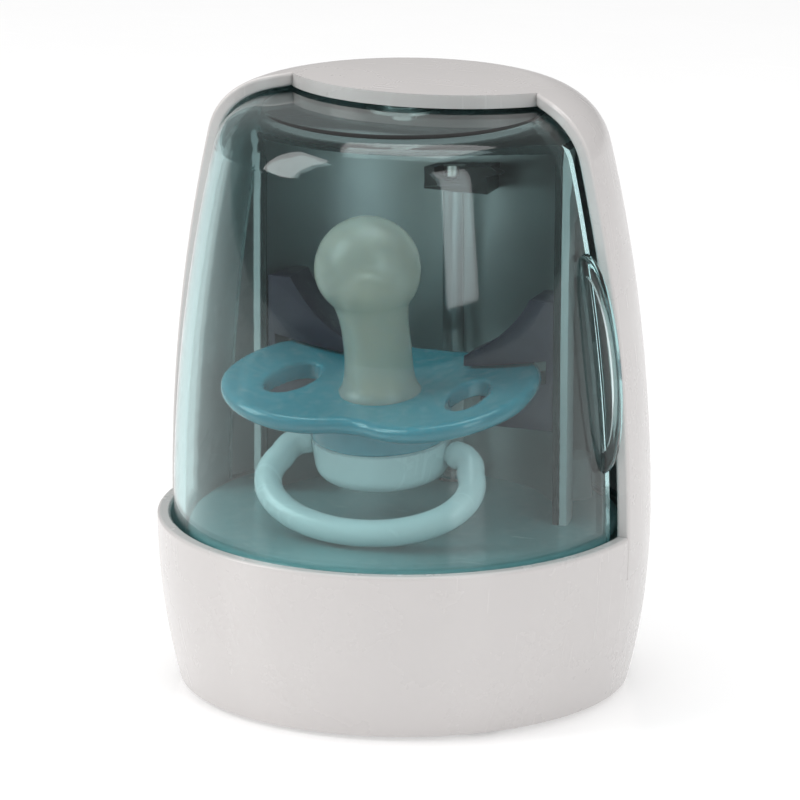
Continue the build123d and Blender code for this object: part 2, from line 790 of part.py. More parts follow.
def make_bottom_plate():
    plate = disc(plate_radius, plate_low, plate_top)
    bay = block(
        -bay_half_x - bay_wall, bay_half_x + bay_wall, -bay_half_y - bay_wall,
        bay_half_y + bay_wall, plate_low, bay_top + bay_wall,
    )
    plate += bay & disc(plate_radius, plate_low, far)
    for x, y in base_screw_points():
        plate -= disc(screw_radius + screw_play, 0, plate_top + 1, x, y)
        plate -= disc(screw_head + screw_play, 0, screw_low + screw_head_height, x, y)
    for x, y in foot_points():
        plate -= disc(foot_pad_radius + fit_gap, 0, plate_low + foot_pad_recess, x, y)
    for side in (-1, 1):
        post = block(
            side * (board_half + 0.3) - post_size / 2, side * (board_half + 0.3) + post_size / 2,
            board_y - 1.4, board_y + board_thick + 1.4, plate_top - 0.2, plate_top + 9,
        )
        slot = block(
            -board_half - fit_gap, board_half + fit_gap, board_y - fit_gap,
            board_y + board_thick + fit_gap, plate_top, far,
        )
        plate += post - slot
    plate -= block(-bay_half_x, bay_half_x, -bay_half_y, bay_half_y, 0, bay_top)
    plate -= block(
        -door_half_x - door_gap, door_half_x + door_gap, -door_half_y - door_gap,
        door_half_y + door_gap, 0, door_top + cell_gap / 2,
    )
    pin_room = rod_along_y(
        door_pin + screw_play, -door_half_y - door_pin_length - door_gap,
        door_half_y + door_pin_length + door_gap, door_axis_x, door_axis_z,
    )
    return plate - pin_room


def make_door():
    door = block(door_axis_x, door_half_x, -door_half_y, door_half_y, door_low, door_top)
    door += rod_along_y(door_thick / 2, -door_half_y, door_half_y, door_axis_x, door_axis_z)
    door += rod_along_y(
        door_pin, -door_half_y - door_pin_length, door_half_y + door_pin_length,
        door_axis_x, door_axis_z,
    )
    for step in range(grip_rib_count):
        x = door_half_x - 4.0 - grip_rib_pitch * step
        door -= block(
            x, x + grip_rib_width, -grip_rib_half, grip_rib_half, door_low - 1, door_low + 0.4
        )
    return door


def cell_y(index):
    return (index - (cell_count - 1) / 2) * (2 * cell_radius + cell_gap)


def make_cell(index):
    facing = 1 if index % 2 else -1
    body = rod_along_x(cell_radius, -cell_length / 2, cell_length / 2, cell_y(index), cell_z)
    body = fillet(body.edges().filter_by(GeomType.CIRCLE), 0.5)
    nub_end = facing * (cell_length / 2 + nub_length)
    x0, x1 = sorted((facing * (cell_length / 2 - 0.3), nub_end))
    return body + rod_along_x(nub_radius, x0, x1, cell_y(index), cell_z)


def make_contacts(side):
    contacts = []
    for index in range(cell_count):
        facing = 1 if index % 2 else -1
        y = cell_y(index)
        wall_x = bay_half_x - fit_gap
        plate = block(
            wall_x - contact_thick, wall_x, y - contact_half, y + contact_half,
            cell_z - contact_half, cell_z + contact_half,
        )
        touch_x = cell_length / 2 + (nub_length if facing == side else 0) + fit_gap
        bow = Polyline(
            (wall_x - contact_thick / 2, cell_z - 3), (touch_x, cell_z - 0.8),
            (touch_x, cell_z + 0.8), (wall_x - contact_thick / 2, cell_z + 3),
            (wall_x - contact_thick / 2, cell_z + 3 - contact_thick),
            (touch_x + contact_thick, cell_z + 0.5), (touch_x + contact_thick, cell_z - 0.5),
            (wall_x - contact_thick / 2, cell_z - 3 + contact_thick), close=True,
        )
        leaf = extrude(Plane.XZ.offset(-y - leaf_half) * make_face(bow), 2 * leaf_half)
        contact = plate + leaf
        contacts.append(contact if side > 0 else mirror(contact, Plane.YZ))
    return Compound(children=[c.solids()[0] for c in contacts])


# ---- Board, its parts, the button and the light pipe
board_rear = board_y + board_thick
wall_y = base_radius_at(button_z, 0)


def make_board():
    return block(-board_half, board_half, board_y, board_rear, plate_top + fit_gap, board_top)


def make_transformer():
    width, height = transformer_core
    wide, band = transformer_flange
    x0, z0 = transformer_x - width / 2, transformer_z - height / 2
    core = block(x0, x0 + width, board_rear, board_rear + transformer_depth - 0.6, z0, z0 + height)
    for z in (z0, z0 + height - band):
        core += block(
            transformer_x - wide / 2, transformer_x + wide / 2, board_rear + 0.4,
            board_rear + transformer_depth, z, z + band,
        )
    return core


def make_switch():
    body = block(
        -switch_size / 2, switch_size / 2, board_rear, board_rear + switch_depth,
        button_z - switch_size / 2, button_z + switch_size / 2,
    )
    hole = rod_along_y(
        plunger_radius + fit_gap, board_rear + 1, far, 0, button_z
    )
    return body - hole


def make_plunger():
    low = board_rear + switch_depth - 1.0
    high = board_rear + switch_depth + plunger_length
    return rod_along_y(plunger_radius, low, high, 0, button_z)


def make_button():
    start = board_rear + switch_depth + plunger_length + fit_gap
    cap_low = base_radius_at(button_z, shell_wall) - 2.4
    cap = rod_along_y(button_radius, cap_low, wall_y + button_proud, 0, button_z)
    cap = fillet(cap.edges().filter_by(lambda e: e.center().Y > wall_y), edge_round)
    flange = rod_along_y(
        button_radius + button_flange, cap_low - 1.0, cap_low, 0, button_z
    )
    stem = rod_along_y(stem_of_button, start, cap_low, 0, button_z)
    return cap + flange + stem


def make_light_pipe():
    outer_y = sqrt(wall_y ** 2 - pipe_x ** 2)
    return rod_along_y(pipe_radius, board_rear + 4.6, outer_y, pipe_x, button_z)


def make_led():
    base = rod_along_y(led_base, board_rear, board_rear + led_base_thick, pipe_x, button_z)
    lens = rod_along_y(led_radius, board_rear, board_rear + led_length, pipe_x, button_z)
    return base + lens + Pos(pipe_x, board_rear + led_length, button_z) * Sphere(led_radius)


def make_capacitor():
    end = board_rear + capacitor_length
    can = rod_along_y(capacitor_radius, board_rear, end, capacitor_x, capacitor_z)
    return fillet(can.edges().filter_by(lambda e: e.center().Y > end - 0.1), 0.5)


def make_chip():
    half_x, half_z = chip_size[0] / 2, chip_size[1] / 2
    rear = board_y - chip_lift
    chip = block(-half_x, half_x, rear - chip_thick, rear, chip_z - half_z, chip_z + half_z)
    reach = half_x + chip_pin_reach
    for step in range(chip_pins):
        z = chip_z + (step - (chip_pins - 1) / 2) * chip_pin_pitch - chip_pin / 2
        chip += block(-reach, reach, board_y - 0.7, board_y, z, z + chip_pin)
    return chip


def make_reed():
    y = magnet_place()[1] - reed_inset
    return rod_along_x(reed_radius, -reed_half, reed_half, y, shelf_low - reed_radius - fit_gap)


# ---- Small pieces in groups
def make_base_screws():
    screws = [screw(x, y, screw_low, base_screw_length) for x, y in base_screw_points()]
    return Compound(children=[s.solids()[0] for s in screws])


def make_tray_screws():
    low = shelf_low - screw_head_height - fit_gap
    screws = [screw(x, y, low, tray_screw_length) for x, y in tray_screw_points()]
    return Compound(children=[s.solids()[0] for s in screws])


def make_pivot_washer():
    high = pivot_low - fit_gap
    ring = disc(washer_radius, high - washer_thick, high)
    return ring - disc(screw_radius + screw_play, high - washer_thick - 1, high + 1)


def make_pivot_screw():
    head_top = pivot_low - fit_gap - washer_thick - fit_gap
    return screw(0, 0, head_top - screw_head_height, hood_under - head_top + screw_head_height)


def make_foot(x, y):
    pad = disc(foot_pad_radius, 0, plate_low + foot_pad_recess - fit_gap, x, y)
    return fillet(pad.edges().filter_by(lambda e: e.center().Z < 0.01), 0.25)


# ---- Write every piece
os.makedirs("parts", exist_ok=True)
save("hood_shell", make_hood())
save("base_shell", make_base())
save("lid_shell", make_lid())
magnet_x, magnet_y = magnet_place()
save("lid_magnet", disc(magnet_radius, ring_low + 0.1, flange_top - 0.1, magnet_x, magnet_y))
save("pivot_washer", make_pivot_washer())
save("pivot_screw", make_pivot_screw())
save("floor_tray", make_tray())
save("reflector", make_reflector())
save("column_housing", make_housing())
save("lamp_tube", make_lamp())
save("lamp_cap_upper", make_lamp_cap(lamp_top - cap_length, lamp_top + cap_wall, False))
save("lamp_cap_lower", make_lamp_cap(lamp_bottom - cap_wall, lamp_bottom + cap_length, True))
save("lamp_holder_upper", make_upper_holder())
save("lamp_holder_lower", make_lower_holder())
save("lamp_lead", make_lead())
save("cradle_right", make_cradle(1))
save("cradle_left", make_cradle(-1))
save("pacifier_shield", make_shield())
save("pacifier_teat", make_teat())
save("teat_plug", make_plug())
save("pacifier_knob", make_knob())
save("pacifier_ring", make_ring())
save("bottom_plate", make_bottom_plate())
save("battery_door", make_door())
for number in range(cell_count):
    save("battery_cell_" + str(number + 1), make_cell(number))
save("contacts_right", make_contacts(1))
save("contacts_left", make_contacts(-1))
save("circuit_board", make_board())
save("transformer", make_transformer())
save("tact_switch", make_switch())
save("switch_plunger", make_plunger())
save("power_button", make_button())
save("light_pipe", make_light_pipe())
save("status_led", make_led())
save("capacitor", make_capacitor())
save("control_chip", make_chip())
save("reed_switch", make_reed())
save("base_screws", make_base_screws())
save("tray_screws", make_tray_screws())
for number, (foot_x, foot_y) in enumerate(foot_points(), 1):
    save("rubber_foot_" + str(number), make_foot(foot_x, foot_y))
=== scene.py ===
import json
from math import atan2, cos, degrees, hypot, pi, radians, sin, sqrt

import bmesh
import bpy
from mathutils import Matrix, Vector

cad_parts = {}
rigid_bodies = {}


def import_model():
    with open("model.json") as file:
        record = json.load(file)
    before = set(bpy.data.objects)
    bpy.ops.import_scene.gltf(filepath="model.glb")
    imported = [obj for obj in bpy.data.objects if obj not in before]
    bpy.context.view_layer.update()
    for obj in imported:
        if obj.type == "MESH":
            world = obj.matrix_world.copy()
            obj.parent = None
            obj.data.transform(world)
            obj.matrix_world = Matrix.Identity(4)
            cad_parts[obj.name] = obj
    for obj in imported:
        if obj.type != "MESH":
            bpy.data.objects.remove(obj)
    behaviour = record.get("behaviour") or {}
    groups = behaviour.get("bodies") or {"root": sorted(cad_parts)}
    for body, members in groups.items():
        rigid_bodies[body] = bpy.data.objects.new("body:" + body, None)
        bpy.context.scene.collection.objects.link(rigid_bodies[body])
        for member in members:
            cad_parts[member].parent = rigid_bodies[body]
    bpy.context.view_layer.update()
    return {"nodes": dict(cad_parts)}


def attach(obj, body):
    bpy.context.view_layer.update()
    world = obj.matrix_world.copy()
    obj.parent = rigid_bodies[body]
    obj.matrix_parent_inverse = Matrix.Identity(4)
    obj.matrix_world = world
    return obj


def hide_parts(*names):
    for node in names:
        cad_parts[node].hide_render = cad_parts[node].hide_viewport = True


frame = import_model()
mm = 0.001  # the sizes in the dictionaries are millimetres
print("frame loaded:", len(frame["nodes"]), "nodes")


# camera, floor and lights
shot = dict(azimuth=22.0, elevation=15.0, distance=1000.0, lens=279.0, target=(0, 0, 49.0),
            shiftRight=-0.645, shiftUp=-2.9, nearClip=0.01, farClip=50)

# the brightness of the backdrop for lighting and in mirrors, and the point that the lamps face
backdrop = dict(glow=0.62, mirrored=0.26)
lampAim = (0, 0, 0.05)
softboxes = [
    # name, place and size in metres, watts, tint
    dict(name="keySoftbox", place=(-0.85, -0.5, 0.7), size=(0.5, 0.9), watts=5.6, tint=(1.0, 0.99, 0.98)),
    dict(name="fillSoftbox", place=(0.8, -0.6, 0.5), size=(0.35, 0.8), watts=2.2, tint=(0.98, 0.99, 1.0)),
    dict(name="topSoftbox", place=(0.0, 0.15, 1.1), size=(0.8, 0.6), watts=4.4, tint=(1.0, 1.0, 1.0)),
]


def aimCamera():
    a, e = radians(shot["azimuth"]), radians(shot["elevation"])
    back = Vector((sin(a) * cos(e), -cos(a) * cos(e), sin(e)))
    right = Vector((cos(a), sin(a), 0))
    up = back.cross(right)
    place = Vector(shot["target"]) + right * shot["shiftRight"] + up * shot["shiftUp"]
    place += back * shot["distance"]
    camera = bpy.data.objects.new("camera", bpy.data.cameras.new("camera"))
    camera.data.lens = shot["lens"]
    camera.data.clip_start, camera.data.clip_end = shot["nearClip"], shot["farClip"]
    camera.matrix_world = Matrix.Translation(place * mm) @ Matrix((right, up, back)).transposed().to_4x4()
    bpy.context.scene.collection.objects.link(camera)
    bpy.context.scene.camera = camera


def hangLights():
    for box in softboxes:
        data = bpy.data.lights.new(box["name"], "AREA")
        data.shape = "RECTANGLE"
        data.size, data.size_y = box["size"]
        data.energy, data.color = box["watts"], box["tint"]
        lamp = bpy.data.objects.new(box["name"], data)
        lamp.location = box["place"]
        aim = Vector(box["place"]) - Vector(lampAim)
        lamp.rotation_euler = aim.to_track_quat("Z", "Y").to_euler()
        bpy.context.scene.collection.objects.link(lamp)
    world = bpy.data.worlds.new("studio")
    world.use_nodes = True
    # the backdrop is pure white, and the light that it sends is weaker
    tree = world.node_tree
    rays, seen = tree.nodes.new("ShaderNodeLightPath"), tree.nodes.new("ShaderNodeMapRange")
    tree.links.new(rays.outputs["Is Camera Ray"], seen.inputs["Value"])
    seen.inputs["To Max"].default_value = 1.0
    mirrored = tree.nodes.new("ShaderNodeMapRange")
    tree.links.new(rays.outputs["Is Glossy Ray"], mirrored.inputs["Value"])
    mirrored.inputs["To Min"].default_value = backdrop["glow"]
    mirrored.inputs["To Max"].default_value = backdrop["mirrored"]
    tree.links.new(mirrored.outputs["Result"], seen.inputs["To Min"])
    tree.nodes["Background"].inputs["Color"].default_value = (1.0, 1.0, 1.0, 1)
    tree.links.new(seen.outputs["Result"], tree.nodes["Background"].inputs["Strength"])
    bpy.context.scene.world = world
    bpy.context.scene.view_settings.view_transform = "Standard"


aimCamera()
hangLights()
print("camera and lights placed")


# shared shader groups: they put out masks, values and heights only
surface = dict(sinkScale=28.0, smudgeScale=75.0, smudgeSwing=2.4, grainShare=0.35, hairlineBand=(0.70, 0.78),
               dustScale=520.0, dustBand=(0.5, 0.72), dustUpward=(0.2, 0.95))


def newGroup(name, inputs, outputs):
    group = bpy.data.node_groups.new(name, "ShaderNodeTree")
    for label, value in inputs:
        socket = group.interface.new_socket(name=label, in_out="INPUT", socket_type="NodeSocketFloat")
        socket.default_value = value
    for label in outputs:
        group.interface.new_socket(name=label, in_out="OUTPUT", socket_type="NodeSocketFloat")
    return group, group.nodes.new("NodeGroupInput"), group.nodes.new("NodeGroupOutput")


def node(tree, kind, **settings):
    made = tree.nodes.new(kind)
    for key, value in settings.items():
        setattr(made, key, value)
    return made


def noiseField(tree, scaleFrom, coords, detail, roughness=0.5):
    noise = node(tree, "ShaderNodeTexNoise")
    noise.inputs["Detail"].default_value = detail
    noise.inputs["Roughness"].default_value = roughness
    tree.links.new(coords, noise.inputs["Vector"])
    if scaleFrom is not None:
        tree.links.new(scaleFrom, noise.inputs["Scale"])
    return noise


def rangeOf(tree, value, fromLow, fromHigh, toLow, toHigh):
    made = node(tree, "ShaderNodeMapRange")
    tree.links.new(value, made.inputs["Value"])
    for label, amount in (("From Min", fromLow), ("From Max", fromHigh)):
        made.inputs[label].default_value = amount
    for label, amount in (("To Min", toLow), ("To Max", toHigh)):
        if isinstance(amount, (int, float)):
            made.inputs[label].default_value = amount
        else:
            tree.links.new(amount, made.inputs[label])
    return made.outputs["Result"]


def mathOf(tree, operation, a, b):
    made = node(tree, "ShaderNodeMath", operation=operation)
    for socket, amount in zip(made.inputs, (a, b)):
        if isinstance(amount, (int, float)):
            socket.default_value = amount
        else:
            tree.links.new(amount, socket)
    return made.outputs[0]


def makeMouldedSkin():
    # fine spark texture and slow sink marks of a moulded face, and the sheen that varies with them
    group, take, give = newGroup("mouldedSkin", [("Grain Scale", 2600.0), ("Gloss", 0.3), ("Spread", 0.06)],
                                 ["Roughness", "Height", "Shade"])
    coords = node(group, "ShaderNodeTexCoord").outputs["Object"]
    grain = noiseField(group, take.outputs["Grain Scale"], coords, 2.0)
    slow = noiseField(group, None, coords, 3.0)
    slow.inputs["Scale"].default_value = surface["sinkScale"]
    smudge = noiseField(group, None, coords, 5.0, 0.6)
    smudge.inputs["Scale"].default_value = surface["smudgeScale"]
    swing = mathOf(group, "MULTIPLY", mathOf(group, "SUBTRACT", smudge.outputs["Fac"], 0.5), take.outputs["Spread"])
    swing = mathOf(group, "MULTIPLY", swing, surface["smudgeSwing"])
    group.links.new(mathOf(group, "ADD", take.outputs["Gloss"], swing), give.inputs["Roughness"])
    spark = mathOf(group, "MULTIPLY", grain.outputs["Fac"], surface["grainShare"])
    height = mathOf(group, "ADD", spark, slow.outputs["Fac"])
    group.links.new(height, give.inputs["Height"])
    group.links.new(rangeOf(group, slow.outputs["Fac"], 0.3, 0.7, 0.0, 1.0), give.inputs["Shade"])
    return group


def makeHairlines():
    # fine scratches of handling, thin and in a few directions
    group, take, give = newGroup("hairlines", [("Scale", 60.0), ("Amount", 0.5)], ["Mask"])
    coords = node(group, "ShaderNodeTexCoord").outputs["Object"]
    total = None
    for turn, stretch in ((0.4, 26.0), (1.3, 34.0), (2.4, 20.0)):
        mapping = node(group, "ShaderNodeMapping")
        mapping.inputs["Rotation"].default_value = (turn, turn * 0.7, turn)
        mapping.inputs["Scale"].default_value = (1.0, stretch, 1.0)
        group.links.new(coords, mapping.inputs["Vector"])
        lines = noiseField(group, take.outputs["Scale"], mapping.outputs["Vector"], 1.0)
        thin = rangeOf(group, lines.outputs["Fac"], *surface["hairlineBand"], 0.0, 1.0)
        total = thin if total is None else mathOf(group, "MAXIMUM", total, thin)
    group.links.new(mathOf(group, "MULTIPLY", total, take.outputs["Amount"]), give.inputs["Mask"])
    return group


def makeFineDust():
    # settled dust on faces that look up
    group, take, give = newGroup("fineDust", [("Amount", 0.2)], ["Mask"])
    coords = node(group, "ShaderNodeTexCoord").outputs["Object"]
    facing = node(group, "ShaderNodeNewGeometry")
    upward = node(group, "ShaderNodeSeparateXYZ")
    group.links.new(facing.outputs["Normal"], upward.inputs[0])
    specks = noiseField(group, None, coords, 6.0, 0.7)
    specks.inputs["Scale"].default_value = surface["dustScale"]
    spots = rangeOf(group, specks.outputs["Fac"], *surface["dustBand"], 0.0, 1.0)
    top = rangeOf(group, upward.outputs["Z"], *surface["dustUpward"], 0.0, 1.0)
    group.links.new(mathOf(group, "MULTIPLY", mathOf(group, "MULTIPLY", spots, top), take.outputs["Amount"]),
                    give.inputs["Mask"])
    return group


mouldedSkin, hairlines, fineDust = makeMouldedSkin(), makeHairlines(), makeFineDust()


def startMaterial(name):
    material = bpy.data.materials.new(name)
    material.use_nodes = True
    tree = material.node_tree
    tree.nodes.clear()
    shader, out = node(tree, "ShaderNodeBsdfPrincipled"), node(tree, "ShaderNodeOutputMaterial")
    tree.links.new(shader.outputs[0], out.inputs["Surface"])
    return material, tree, shader, out


def placeGroup(tree, group, **values):
    made = node(tree, "ShaderNodeGroup", node_tree=group)
    for label, value in values.items():
        made.inputs[label.replace("_", " ")].default_value = value
    return made


def mixColour(tree, mask, first, second):
    made = node(tree, "ShaderNodeMix", data_type="RGBA")
    tree.links.new(mask, made.inputs[0])
    for socket, colour in ((made.inputs[6], first), (made.inputs[7], second)):
        if isinstance(colour, tuple):
            socket.default_value = (*colour, 1)
        else:
            tree.links.new(colour, socket)
    return made.outputs[2]


def roughened(tree, skin, marks, amount):
    # the roughness of the skin, lifted along the hairlines
    lifted = mathOf(tree, "MULTIPLY", marks.outputs["Mask"], amount)
    return mathOf(tree, "ADD", skin.outputs["Roughness"], lifted)


def bumpFrom(tree, shader, height, strength, distance):
    bump = node(tree, "ShaderNodeBump")
    bump.inputs["Strength"].default_value = strength
    bump.inputs["Distance"].default_value = distance
    tree.links.new(height, bump.inputs["Height"])
    tree.links.new(bump.outputs[0], shader.inputs["Normal"])


plastic = dict(grain=2600.0, bump=0.15, bumpDepth=0.00006, scratchRough=0.25, leastRough=0.04, ior=1.5,
               coatRoughness=0.08, dustColour=(0.62, 0.61, 0.58))
metal = dict(grain=4200.0, spread=0.08, hairlineScale=140.0, shade=0.86, scratchRough=0.18, bump=0.2,
             bumpDepth=0.00002)
clear = dict(grain=900.0, spread=0.02, hairlineScale=45.0, scratches=0.35, scratchRough=0.12, bump=0.04,
             bumpDepth=0.00005)
silicone = dict(grain=1500.0, gloss=0.24, spread=0.05, dust=0.12, dustColour=(0.6, 0.59, 0.55), ior=1.41,
                radius=(1.0, 0.9, 0.7), depth=0.004, bump=0.1, bumpDepth=0.00005)


def mouldedPlastic(name, colour, shade, gloss=0.3, spread=0.06, scratches=0.3, dust=0.15, coat=0.0):
    # an opaque moulding: slightly uneven colour, grain, hairlines that lift the roughness, and a little dust
    material, tree, shader, _ = startMaterial(name)
    skin = placeGroup(tree, mouldedSkin, Grain_Scale=plastic["grain"], Gloss=gloss, Spread=spread)
    marks = placeGroup(tree, hairlines, Amount=scratches)
    settled = placeGroup(tree, fineDust, Amount=dust)
    base = mixColour(tree, skin.outputs["Shade"], colour, shade)
    dusty = mixColour(tree, settled.outputs["Mask"], base, plastic["dustColour"])
    tree.links.new(dusty, shader.inputs["Base Color"])
    rough = roughened(tree, skin, marks, plastic["scratchRough"])
    tree.links.new(mathOf(tree, "MAXIMUM", rough, plastic["leastRough"]), shader.inputs["Roughness"])
    bumpFrom(tree, shader, skin.outputs["Height"], plastic["bump"], plastic["bumpDepth"])
    shader.inputs["IOR"].default_value = plastic["ior"]
    shader.inputs["Coat Weight"].default_value = coat
    shader.inputs["Coat Roughness"].default_value = plastic["coatRoughness"]
    return material


def bareMetal(name, colour, roughness=0.25, scratches=0.6):
    material, tree, shader, _ = startMaterial(name)
    skin = placeGroup(tree, mouldedSkin, Grain_Scale=metal["grain"], Gloss=roughness, Spread=metal["spread"])
    marks = placeGroup(tree, hairlines, Scale=metal["hairlineScale"], Amount=scratches)
    shade = tuple(c * metal["shade"] for c in colour)
    tree.links.new(mixColour(tree, skin.outputs["Shade"], colour, shade), shader.inputs["Base Color"])
    tree.links.new(roughened(tree, skin, marks, metal["scratchRough"]), shader.inputs["Roughness"])
    shader.inputs["Metallic"].default_value = 1.0
    bumpFrom(tree, shader, skin.outputs["Height"], metal["bump"], metal["bumpDepth"])
    return material


def clearPlastic(name, tint, density, absorbed, roughness=0.03, ior=1.5, shadow=(1.0, 1.0, 1.0)):
    # a clear moulding: light passes it in shadow rays, and its thickness tints what is behind it
    material, tree, shader, out = startMaterial(name)
    skin = placeGroup(tree, mouldedSkin, Grain_Scale=clear["grain"], Gloss=roughness, Spread=clear["spread"])
    marks = placeGroup(tree, hairlines, Scale=clear["hairlineScale"], Amount=clear["scratches"])
    rough = roughened(tree, skin, marks, clear["scratchRough"])
    tree.links.new(mathOf(tree, "MAXIMUM", rough, 0.0), shader.inputs["Roughness"])
    shader.inputs["Base Color"].default_value = (*tint, 1)
    shader.inputs["IOR"].default_value = ior
    shader.inputs["Transmission Weight"].default_value = 1.0
    bumpFrom(tree, shader, skin.outputs["Height"], clear["bump"], clear["bumpDepth"])
    rays, mix = node(tree, "ShaderNodeLightPath"), node(tree, "ShaderNodeMixShader")
    passing = node(tree, "ShaderNodeBsdfTransparent")
    passing.inputs["Color"].default_value = (*shadow, 1)
    tree.links.new(rays.outputs["Is Shadow Ray"], mix.inputs[0])
    tree.links.new(shader.outputs[0], mix.inputs[1])
    tree.links.new(passing.outputs[0], mix.inputs[2])
    tree.links.new(mix.outputs[0], out.inputs["Surface"])
    if density:
        soak = node(tree, "ShaderNodeVolumeAbsorption")
        soak.inputs["Color"].default_value = (*absorbed, 1)
        soak.inputs["Density"].default_value = density
        tree.links.new(soak.outputs[0], out.inputs["Volume"])
    return material


def softSilicone(name, colour, shade, transmission, scatter):
    # cured silicone: light enters and scatters, and some of what is behind shows through
    material, tree, shader, _ = startMaterial(name)
    skin = placeGroup(tree, mouldedSkin, Grain_Scale=silicone["grain"], Gloss=silicone["gloss"],
                      Spread=silicone["spread"])
    settled = placeGroup(tree, fineDust, Amount=silicone["dust"])
    base = mixColour(tree, skin.outputs["Shade"], colour, shade)
    dusty = mixColour(tree, settled.outputs["Mask"], base, silicone["dustColour"])
    tree.links.new(dusty, shader.inputs["Base Color"])
    tree.links.new(skin.outputs["Roughness"], shader.inputs["Roughness"])
    shader.inputs["IOR"].default_value = silicone["ior"]
    shader.inputs["Transmission Weight"].default_value = transmission
    shader.inputs["Subsurface Weight"].default_value = scatter
    shader.inputs["Subsurface Radius"].default_value = silicone["radius"]
    shader.inputs["Subsurface Scale"].default_value = silicone["depth"]
    bumpFrom(tree, shader, skin.outputs["Height"], silicone["bump"], silicone["bumpDepth"])
    return material


shellWhite = mouldedPlastic("shellWhite", (0.625, 0.60, 0.59), (0.605, 0.58, 0.572), gloss=0.27, scratches=0.1,
                            dust=0.08, coat=0.25)
innerWhite = mouldedPlastic("innerWhite", (0.74, 0.735, 0.73), (0.70, 0.70, 0.70), gloss=0.42)
lidTeal = clearPlastic("lidTeal", (0.955, 0.98, 0.98), 300.0, (0.58, 0.80, 0.805), shadow=(0.90, 0.945, 0.95))
trayTeal = mouldedPlastic("trayTeal", (0.20, 0.36, 0.37), (0.18, 0.34, 0.35), gloss=0.22, scratches=0.2, coat=0.2)
linerMetal = bareMetal("linerMetal", (0.44, 0.48, 0.48), roughness=0.4, scratches=0.04)
columnGrey = mouldedPlastic("columnGrey", (0.56, 0.58, 0.58), (0.52, 0.54, 0.54), gloss=0.4)
holderBlack = mouldedPlastic("holderBlack", (0.012, 0.013, 0.014), (0.02, 0.02, 0.022), gloss=0.38)
cradleViolet = mouldedPlastic("cradleViolet", (0.030, 0.024, 0.042), (0.040, 0.032, 0.055), gloss=0.34)
shieldTeal = mouldedPlastic("shieldTeal", (0.022, 0.235, 0.305), (0.028, 0.26, 0.33), gloss=0.18, coat=0.5)
knobPale = mouldedPlastic("knobPale", (0.62, 0.74, 0.75), (0.58, 0.71, 0.72), gloss=0.26, coat=0.2)
plugCream = mouldedPlastic("plugCream", (0.74, 0.68, 0.48), (0.70, 0.64, 0.45), gloss=0.35)
steelPlate = bareMetal("steelPlate", (0.62, 0.61, 0.59), roughness=0.3)
footRubber = mouldedPlastic("footRubber", (0.10, 0.10, 0.105), (0.12, 0.12, 0.12), gloss=0.7)
buttonTeal = mouldedPlastic("buttonTeal", (0.06, 0.36, 0.43), (0.05, 0.33, 0.40), gloss=0.25, coat=0.3)
cellJacket = mouldedPlastic("cellJacket", (0.05, 0.06, 0.08), (0.07, 0.08, 0.10), gloss=0.22, coat=0.4)
boardGreen = mouldedPlastic("boardGreen", (0.015, 0.13, 0.05), (0.02, 0.16, 0.06), gloss=0.3, coat=0.4)
windingTape = mouldedPlastic("windingTape", (0.55, 0.38, 0.05), (0.48, 0.32, 0.04), gloss=0.32)
leadSleeve = mouldedPlastic("leadSleeve", (0.70, 0.70, 0.71), (0.66, 0.66, 0.67), gloss=0.45)
lampGlass = clearPlastic("lampGlass", (0.95, 0.98, 0.98), 0.0, (1, 1, 1), ior=1.46)
pipeClear = clearPlastic("pipeClear", (0.90, 0.95, 0.96), 0.0, (1, 1, 1), roughness=0.2, ior=1.49)
lensBlue = clearPlastic("lensBlue", (0.35, 0.55, 0.95), 0.0, (1, 1, 1), roughness=0.12, ior=1.5)
teatSilicone = softSilicone("teatSilicone", (0.86, 0.83, 0.75), (0.82, 0.79, 0.71), 0.66, 0.3)
print("materials made")

frontEdgeShadeDepth = 0.15  # millimetres that the painted shade on the front edge of the reflector reaches back


def paintShadeOnFrontEdge(material, part, colour):
    # the front edge of the sheet is painted dark: painted shade that hides the line of light along it
    tree = material.node_tree
    base = tree.nodes["Principled BSDF"].inputs["Base Color"]
    place, split = node(tree, "ShaderNodeTexCoord"), node(tree, "ShaderNodeSeparateXYZ")
    near = node(tree, "ShaderNodeMath", operation="LESS_THAN")
    near.inputs[1].default_value = min(vert.co.y for vert in part.data.vertices) + frontEdgeShadeDepth * mm
    tree.links.new(place.outputs["Object"], split.inputs["Vector"])
    tree.links.new(split.outputs["Y"], near.inputs[0])
    tree.links.new(mixColour(tree, near.outputs[0], base.links[0].from_socket, colour), base)


# painted shade along the front edge of the reflector
paintShadeOnFrontEdge(linerMetal, frame["nodes"]["reflector"], (0.03, 0.04, 0.04))
looks = {
    "hood_shell": shellWhite, "base_shell": shellWhite, "lid_shell": lidTeal, "floor_tray": trayTeal,
    "reflector": linerMetal, "column_housing": columnGrey, "lamp_tube": lampGlass,
    "lamp_cap_upper": steelPlate, "lamp_cap_lower": steelPlate, "lamp_holder_upper": holderBlack,
    "lamp_holder_lower": holderBlack, "lamp_lead": leadSleeve, "cradle_right": cradleViolet,
    "cradle_left": cradleViolet, "pacifier_shield": shieldTeal, "pacifier_teat": teatSilicone,
    "teat_plug": plugCream, "pacifier_knob": knobPale, "pacifier_ring": knobPale, "power_button": buttonTeal,
    "base_screws": steelPlate, "tray_screws": steelPlate, "pivot_screw": steelPlate, "pivot_washer": steelPlate,
    "lid_magnet": steelPlate, "contacts_right": steelPlate, "contacts_left": steelPlate,
    "circuit_board": boardGreen, "transformer": windingTape, "tact_switch": holderBlack,
    "switch_plunger": holderBlack, "control_chip": holderBlack, "capacitor": cellJacket,
    "reed_switch": lampGlass, "light_pipe": pipeClear, "status_led": lensBlue,
    "battery_cell_1": cellJacket, "battery_cell_2": cellJacket, "battery_cell_3": cellJacket,
    "rubber_foot_1": footRubber, "rubber_foot_2": footRubber, "rubber_foot_3": footRubber,
    "rubber_foot_4": footRubber,
}
